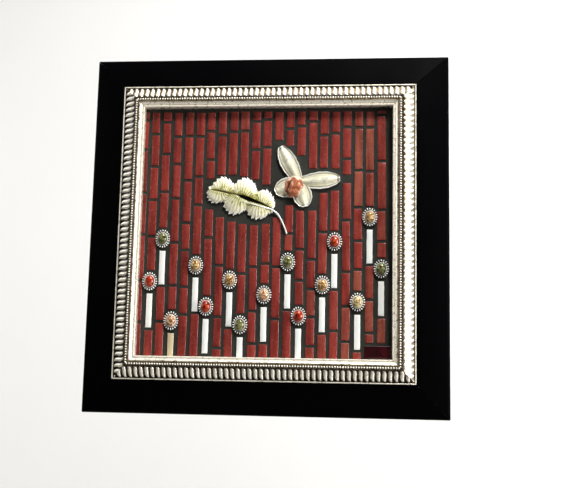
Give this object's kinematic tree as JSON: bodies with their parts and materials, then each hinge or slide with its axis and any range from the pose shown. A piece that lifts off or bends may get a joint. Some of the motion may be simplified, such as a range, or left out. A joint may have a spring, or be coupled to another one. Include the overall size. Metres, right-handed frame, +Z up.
{
  "type": "mosaic panel",
  "caption": "Square wall panel of red glass strips in dark grout, with stone-headed flowers, a leaf and a blossom, in a silver ribbed liner and a black frame.",
  "frame": {"origin": "on the rear face of the hanger, where the panel meets the wall", "axes": "+Z up the wall, -Y out of the picture towards the viewer, +X to the viewer's right"},
  "size_m": [0.355, 0.0369, 0.355],
  "materials": {
    "black_lacquer": "black satin lacquer on wood",
    "silver_leaf": "antiqued silver leaf on a wooden moulding",
    "board": "raw fibreboard",
    "red_glass": "opaque red glass strips in dark grout",
    "dark_glass": "polished dark red glass",
    "pearl_glass": "white pearly glass",
    "silver_plate": "silver plate, darkened in the gaps",
    "ivory_enamel": "ivory enamel with bright edges",
    "coral_enamel": "mottled coral enamel",
    "stone_red": "polished red stone",
    "stone_green": "polished green stone",
    "stone_amber": "polished golden brown stone",
    "stone_peach": "polished peach stone",
    "stone_cream": "polished cream stone",
    "zinc_steel": "zinc plated steel"
  },
  "bodies": {
    "root": {"rail_top": "black_lacquer", "rail_right": "black_lacquer", "rail_bottom": "black_lacquer", "rail_left": "black_lacquer", "liner_top": "silver_leaf", "liner_right": "silver_leaf", "liner_bottom": "silver_leaf", "liner_left": "silver_leaf", "backing_board": "board", "mosaic_field": "red_glass", "corner_plaque": "dark_glass", "leaf": "ivory_enamel", "blossom": "ivory_enamel", "blossom_lip": "coral_enamel", "sawtooth_hanger": "zinc_steel", "stem_01": "pearl_glass", "setting_01": "silver_plate", "stone_01": "stone_red", "stem_02": "pearl_glass", "setting_02": "silver_plate", "stone_02": "stone_green", "stem_03": "pearl_glass", "setting_03": "silver_plate", "stone_03": "stone_peach", "stem_04": "pearl_glass", "setting_04": "silver_plate", "stone_04": "stone_amber", "stem_05": "pearl_glass", "setting_05": "silver_plate", "stone_05": "stone_red", "stem_06": "pearl_glass", "setting_06": "silver_plate", "stone_06": "stone_amber", "stem_07": "pearl_glass", "setting_07": "silver_plate", "stone_07": "stone_green", "stem_08": "pearl_glass", "setting_08": "silver_plate", "stone_08": "stone_peach", "stem_09": "pearl_glass", "setting_09": "silver_plate", "stone_09": "stone_green", "stem_10": "pearl_glass", "setting_10": "silver_plate", "stone_10": "stone_red", "stem_11": "pearl_glass", "setting_11": "silver_plate", "stone_11": "stone_amber", "stem_12": "pearl_glass", "setting_12": "silver_plate", "stone_12": "stone_red", "stem_13": "pearl_glass", "setting_13": "silver_plate", "stone_13": "stone_cream", "stem_14": "pearl_glass", "setting_14": "silver_plate", "stone_14": "stone_amber", "stem_15": "pearl_glass", "setting_15": "silver_plate", "stone_15": "stone_green"}
  },
  "joints": []
}
